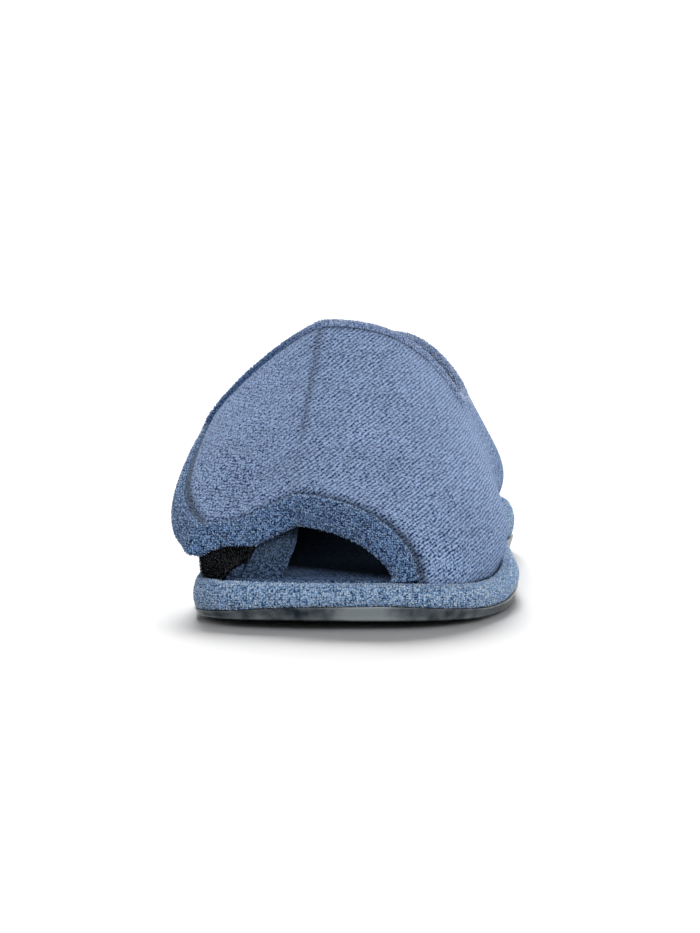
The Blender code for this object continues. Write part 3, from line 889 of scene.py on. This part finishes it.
# %% Rings and sheets of the sole
def sole_rings(profile, height_of, count):
    """Rings round the sole's edge: the grid's first way runs round, its second follows the profile."""
    turns = np.linspace(0, 1, count + 1)
    rings = []
    for inset, *values in profile:
        plan = edge_at(turns, inset * MM)
        rings.append(np.column_stack([plan, height_of(plan[:, 1] + LENGTH / 2, *values)]))
    return np.stack(rings, axis=1)


def sole_sheet(inset, columns, rows):
    """Rows of points from the sole's inner to its outer side, toe to heel. inset may change with the turn."""
    turns = np.linspace(0, 0.5, columns + 1)
    near = edge_at(turns, inset)
    far = edge_at(1 - turns, inset)
    side = np.linspace(0, 1, rows + 1)[None, :, None]
    return near[:, None] * (1 - side) + far[:, None] * side


def way_to_edge(plan):
    """How far the points of a sole sheet lie from its two long sides."""
    share = np.linspace(0, 1, plan.shape[1])
    width = np.linalg.norm(plan[:, -1] - plan[:, 0], axis=1)[:, None]
    return np.minimum(share, 1 - share)[None, :] * width


def profile_curve(rows, count):
    return smooth_rows(range(len(rows)), rows, np.linspace(0, len(rows) - 1, count))


TOE_SAG = np.array(  # x, how far the rand's lower border hangs at the toe, how far its top dips
    (
        (-46, 2.5, 0.0),
        (-36, 1.8, 0.0),
        (-29, 1.25, 0.2),
        (-17, 0.55, 0.4),
        (-4, 0.3, 0.3),
        (12, 0.0, 0.2),
        (25, 0.5, 0.5),
        (36, 1.2, 1.0),
        (46, 1.7, 1.3),
    )
)


def toe_sag(points):
    """How far the border and the roll's top are lowered at these points."""
    x, border, top = TOE_SAG.T
    fade = 1 - ease(points[..., 1] + LENGTH / 2, 30 * MM, 80 * MM)
    return [np.interp(points[..., 0] / MM, x, drop) * MM * fade for drop in (border, top)]


# %% Outsole with its tread
SOLE_COLUMNS = 250
TREAD_ROWS = 90
TREAD_PITCH = 5.5 * MM
TREAD_WAVE = 22 * MM
TREAD_BEND = 2.5 * MM
TREAD_DEPTH = 0.8 * MM
TREAD_INSET = 3.4
LID_INSET = 3.0
RUBBER_SIDE = (  # inset from the sole's edge, share of the rubber's thickness
    (TREAD_INSET, 0.0),
    (2.6, 0.03),
    (2.0, 0.09),
    (1.8, 0.16),
    (1.9, 0.24),
    (1.6, 0.42),
    (1.0, 0.68),
    (0.5, 0.9),
    (0.4, 0.97),
    (0.8, 1.0),
    (LID_INSET, 1.0),
)
side = sole_rings(
    RUBBER_SIDE,
    lambda station, share: tread_height(station) + share * (rubber_top(station) - tread_height(station)),
    2 * SOLE_COLUMNS,
)
side[..., 2] -= toe_sag(side)[0] * np.array(RUBBER_SIDE)[:, 1]
plan = sole_sheet(TREAD_INSET * MM, SOLE_COLUMNS, TREAD_ROWS)
station = plan[..., 1] + LENGTH / 2
to_end = np.minimum(station, LENGTH - station)
bend = TREAD_BEND * np.sin(2 * math.pi * plan[..., 0] / TREAD_WAVE)
wave = np.cos(2 * math.pi * (plan[..., 1] + bend) / TREAD_PITCH)
groove = ease(wave, 0.1, 0.7) * ease(way_to_edge(plan), 4 * MM, 6 * MM) * ease(to_end, 8 * MM, 11 * MM)
tread = np.concatenate([plan, (tread_height(station) + TREAD_DEPTH * groove)[..., None]], axis=2)
plan = sole_sheet(LID_INSET * MM, SOLE_COLUMNS, 2)
lid = np.concatenate([plan, (rubber_top(plan[..., 1] + LENGTH / 2) - toe_sag(plan)[0])[..., None]], axis=2)
bm = bmesh.new()
for grid in (side, tread, lid):
    lay(bm, grid)
close(bm)
outsole = piece("rubber_sole", bm, "grey_rubber", rubber)
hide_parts("outsole")

# %% Rand: the terry strip round the foam
LOOP = yarn_loop(0.7 * MM, 0.45 * MM, 0.4 * MM)
LOOP_PITCH = 0.82
RAND_PROFILE = (  # inset from the sole's edge, share of the foam's thickness, drop in millimetres
    (2.6, 0.02, 0),
    (1.5, 0.07, 0),
    (0.85, 0.22, 0),
    (0.6, 0.45, 0),
    (1.05, 0.68, 0.1),
    (2.2, 0.88, 0.3),
    (4.0, 0.97, 0.5),
    (6.0, 1.0, 0.9),
    (7.2, 1.0, 2.2),
    (9.0, 1.0, 3.2),
)
RAND_PROFILE_POINTS = 28
RAND_COLUMNS = 400
RAND_ROWS = 24
rand_profile = profile_curve(RAND_PROFILE, RAND_PROFILE_POINTS)
rand_grid = sole_rings(
    rand_profile,
    lambda station, share, drop: rubber_top(station) + share * foam_thickness(station) - drop * MM,
    RAND_COLUMNS,
)
border, top = toe_sag(rand_grid)
rand_grid[..., 2] -= border + (top - border) * ease(rand_profile[:, 1], 0.02, 0.9)
rand_grid = evened(rand_grid, RAND_ROWS)
bm = bmesh.new()
lay(bm, rand_grid)
close(bm)
rand_out = unit(np.cross(np.gradient(rand_grid, axis=1), np.gradient(rand_grid, axis=0)))
count = scatter(bm, rand_grid, rand_out, LOOP_PITCH, LOOP, seed=11, rows=(0.05, 0.74))
print("loops on the rand:", count)
rand = piece("rand_terry", bm, "terry_roll", rand_ground, rand_yarn)
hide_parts("platform")

# %% Insole
INSOLE_INSET = 8 * MM
INSOLE_COLUMNS = 200
INSOLE_ROWS = 70
BACK_ROW_STEP = 7
SOCK_EDGE = 0.4 * MM
SOCK_CROWN = 2.2 * MM
SOCK_GAP = 0.1 * MM
plan = sole_sheet(INSOLE_INSET, INSOLE_COLUMNS, INSOLE_ROWS)
station = plan[..., 1] + LENGTH / 2
to_end = np.minimum(station, LENGTH - station) - INSOLE_INSET
crown = ease(np.minimum(way_to_edge(plan), to_end), -1 * MM, 5 * MM)
seat = seat_height(station)
face = np.concatenate([plan, (seat + SOCK_EDGE + SOCK_CROWN * crown)[..., None]], axis=2)
back = np.concatenate([plan, (seat + SOCK_GAP)[..., None]], axis=2)
insole_grid = np.concatenate([face, back[:, ::-BACK_ROW_STEP], face[:, :1]], axis=1)
bm = bmesh.new()
lay(bm, insole_grid)
close(bm)
insole = piece("insole_sock", bm, "terry_sock", sock)
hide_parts("insole")

# %% [markdown]
# ## Bindings
# Padded rolls are sewn on the flap's edges and on the collar. Each is one section swept along an edge of
# the wall: narrow at the seam, so that a groove shows, and full beyond it. A curve with a bevel would twist
# at the corners, so the section follows the wall's own normals.

# %% Section and sweep of a roll
ROLL_SECTION = (  # share of the reach, share of the half thickness
    (0.0, 0.45),
    (0.06, 0.78),
    (0.2, 0.98),
    (0.42, 1.0),
    (0.68, 0.84),
    (0.88, 0.55),
    (0.98, 0.22),
)
ROLL_ROWS = 36
HALF_SECTION_POINTS = 22
half_section = profile_curve(ROLL_SECTION + ((1.0, 0.0),), HALF_SECTION_POINTS)
SECTION = np.vstack([half_section * (1, -1), half_section[-2::-1], half_section[:1] * (1, -1)])


def sweep(edges, outward, normals, reach, half, hang):
    """A closed roll along an edge. The hang tips the part beyond the seam down from the wall."""
    tipped = unit(outward + hang[:, None] * np.array([0, 0, -1]))
    across = unit(normals - (normals * tipped).sum(1)[:, None] * tipped)
    past, thick = SECTION.T
    lean = ease(past, 0.0, 0.35)[None, :, None]
    way = outward[:, None] * (1 - lean) + tipped[:, None] * lean
    rise = normals[:, None] * (1 - lean) + across[:, None] * lean
    return (
        edges[:, None]
        + way * (past[None, :, None] * reach[:, None, None])
        + rise * (thick[None, :, None] * half[:, None, None])
    )


def roll(name, slot, replaced, stretches, seed, *cloths):
    """Makes a roll from its stretches, each with a ground and a yarn, with closed ends and loops."""
    bm = bmesh.new()
    for number, grid in enumerate(stretches):
        lay(bm, grid, 2 * number)
    bmesh.ops.remove_doubles(bm, verts=bm.verts, dist=1e-6)
    bmesh.ops.holes_fill(bm, edges=[edge for edge in bm.edges if edge.is_boundary])
    bmesh.ops.recalc_face_normals(bm, faces=bm.faces)
    count = 0
    for number, grid in enumerate(stretches):
        outward = unit(np.cross(np.gradient(grid, axis=1), np.gradient(grid, axis=0)))
        centre = grid[:, :-1].mean(axis=1, keepdims=True)
        outward *= np.sign(((grid - centre) * outward).sum(axis=(1, 2)).mean())
        count += scatter(
            bm, grid, outward, LOOP_PITCH, LOOP, seed + number, rows=(0.06, 0.94), material=2 * number + 1
        )
    print(name, "loops:", count)
    obj = piece(name, bm, slot, *cloths)
    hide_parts(replaced)
    return obj


# %% Binding of the flap
def along_edge(path, normals, turn_out):
    outward = np.cross(np.gradient(path, axis=0), normals)
    return unit(outward) * turn_out


flap_normals = grid_normals(sewn)
front, rear = slice(4, None), slice(None, WALL_ROWS - 1, -1)
paths = [sewn[-1, front], sewn[::-1, -1], sewn[0, rear]]
path_normals = [flap_normals[-1, front], flap_normals[::-1, -1], flap_normals[0, rear]]
path_outs = [along_edge(path, normals, -1) for path, normals in zip(paths, path_normals)]
fan_steps = np.linspace(0, 1, 26)[1:-1, None]
fans = [unit(a[-1] + (b[0] - a[-1]) * fan_steps) for a, b in zip(path_outs, path_outs[1:])]
corner_count = len(fan_steps)


def with_corners(lines):
    """The three lines in a row, with each corner's point repeated for its fan."""
    corners = [np.tile(line[0], (corner_count, 1)) for line in lines[1:]]
    return np.vstack([lines[0], corners[0], lines[1], corners[1], lines[2]])


edges = with_corners(paths)
outs = np.vstack([path_outs[0], fans[0], path_outs[1], fans[1], path_outs[2]])
norms = with_corners(path_normals)
place = np.concatenate(
    [
        np.zeros(len(paths[0]) + corner_count),
        np.linspace(0, 2, len(paths[1])),
        np.full(corner_count + len(paths[2]), 2.0),
    ]
)
start = np.concatenate([ease(np.arange(len(paths[0])), 0, 26), np.ones(len(place) - len(paths[0]))])
FLAP_ROLL_SIZES = ((9.8, 3.6), (8.2, 3.4), (6.5, 3.6))  # reach and half thickness: front, free end, rear
FRONT_HANG = 1.1
ROLL_STEP = 0.9 * MM
reach, half = smooth_rows((0, 1, 2), FLAP_ROLL_SIZES, place).T * MM - PILE
hang = (FRONT_HANG - ease(place, 0.2, 1.6)) * start
flap_roll = sweep(edges, outs, norms, reach, half, hang)
gaps = np.linalg.norm(np.diff(flap_roll.mean(axis=1), axis=0), axis=1)
keep = np.linspace(0, gaps.sum(), int(gaps.sum() / ROLL_STEP))
at = np.interp(keep, np.concatenate([[0], np.cumsum(gaps)]), np.arange(len(flap_roll)))
lines = [read_grid(flap_roll, at, np.full(len(at), float(k))) for k in range(len(SECTION))]
flap_roll = np.stack(lines, axis=1)
flap_roll = evened(flap_roll, ROLL_ROWS)
rear_start = np.searchsorted(at, len(place) - len(paths[2]))
# Front and free end: the dark binding cloths, painted shade. Rear edge: the pale collar cloths, painted
# light.
stretches = [flap_roll[: rear_start + 1], flap_roll[rear_start:]]
roll(
    "flap_binding_terry",
    "terry_binding",
    "flap_binding",
    stretches,
    23,
    ground,
    yarn,
    collar_ground_lit_and_shaded,
    collar_yarn_lit_and_shaded,
)

# %% Binding of the collar, which widens into the margin of the underlap
UNDERLAP_EDGE = np.array(  # turn, x, station, height of the margin's free edge
    (
        (0.055, -22.5, 12.0, 15.0),
        (0.075, -20.8, 27.0, 19.6),
        (0.098, -19.8, 40.0, 23.8),
        (0.123, -20.0, 55.0, 29.4),
        (0.174, -20.5, 80.0, 44.5),
    )
)
quarter_normals = grid_normals(quarter)
turns = quarter_turns[:-2]
sink = 6.0 * MM * (1 - ease(turns, 0.055, 0.082)) ** 2
edges = quarter[:-2, -1] - sink[:, None] * np.array([0, 0, 1])
norms = quarter_normals[:-2, -1]
outs = along_edge(edges, norms, 1)
COLLAR_TURNS = (UNDERLAP_TURN, 0.11, 0.17, 0.3, THROAT_TURN)
COLLAR_SIZES = ((16, 1.4), (11, 2.2), (11, 2.4), (6, 2.5), (6, 2.3))  # reach and half thickness
reach, half = smooth_rows(COLLAR_TURNS, COLLAR_SIZES, turns).T * MM - PILE
free = smooth_rows(UNDERLAP_EDGE[:, 0], UNDERLAP_EDGE[:, 1:], turns) * MM
free[:, 1] -= LENGTH / 2
free[:, 2] -= sink
margin = (1 - ease(turns, 0.15, 0.19))[:, None]
span = edges + outs * reach[:, None] * (1 - margin) + (free - edges) * margin - edges
reach = np.linalg.norm(span, axis=1)
outs = unit(span)
norms = unit(norms - (norms * outs).sum(1)[:, None] * outs)
collar_roll = evened(sweep(edges, outs, norms, reach, half, np.zeros(len(edges))), ROLL_ROWS)
margin_end = np.searchsorted(turns, UNDERLAP_END)
# The margin takes the dark margin cloths, painted shade; the collar the pale collar cloths, painted light
stretches = [collar_roll[: margin_end + 1], collar_roll[margin_end:]]
roll(
    "collar_binding_terry",
    "terry_binding",
    "collar_binding",
    stretches,
    37,
    margin_ground,
    margin_yarn,
    collar_ground_lit_and_shaded,
    collar_yarn_lit_and_shaded,
)

# %% [markdown]
# ## Hook tape
# The black patch that the flap fastens to is hook tape: a dull woven strip with rows of tiny wire hooks. A
# texture could show them, but the tape's rim would be smooth, so each hook is a small arch. The strip follows
# the underlap's outer face from the rand to the margin.

# %% Hook tape
TAPE_END = 0.245
TAPE_FACE = 0.9 * MM
TAPE_BACK = 0.2 * MM
tape_across = np.linspace(0.05, 1, 30)
tape_start = 0.065 + 0.005 * ease(tape_across, 0.7, 1.0)
tape_turns = tape_start + (TAPE_END - tape_start) * np.linspace(0, 1, 90)[:, None]
wall_grid = upper_points(tape_turns, tape_across).reshape(*tape_turns.shape, 3)
tape_out = grid_normals(wall_grid)
tape_grid = wall_grid + tape_out * (WALL / 2 + TAPE_FACE)
back = wall_grid + tape_out * (WALL / 2 + TAPE_BACK)
slab = np.concatenate([tape_grid, back[:, ::-1], tape_grid[:, :1]], axis=1)
bm = bmesh.new()
lay(bm, slab)
bmesh.ops.remove_doubles(bm, verts=bm.verts, dist=1e-6)
bmesh.ops.holes_fill(bm, edges=[edge for edge in bm.edges if edge.is_boundary])
bmesh.ops.recalc_face_normals(bm, faces=bm.faces)
HOOK = yarn_loop(0.6 * MM, 0.5 * MM, 0.22 * MM)
HOOK_PITCH = 1.2
count = scatter(bm, tape_grid, tape_out, HOOK_PITCH, HOOK, seed=41, spread=0.3, tip=0.25)
pad = piece("hook_tape_pad", bm, "hook_tape", tape, hooks)
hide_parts("hook_pad")
print("hooks:", count)
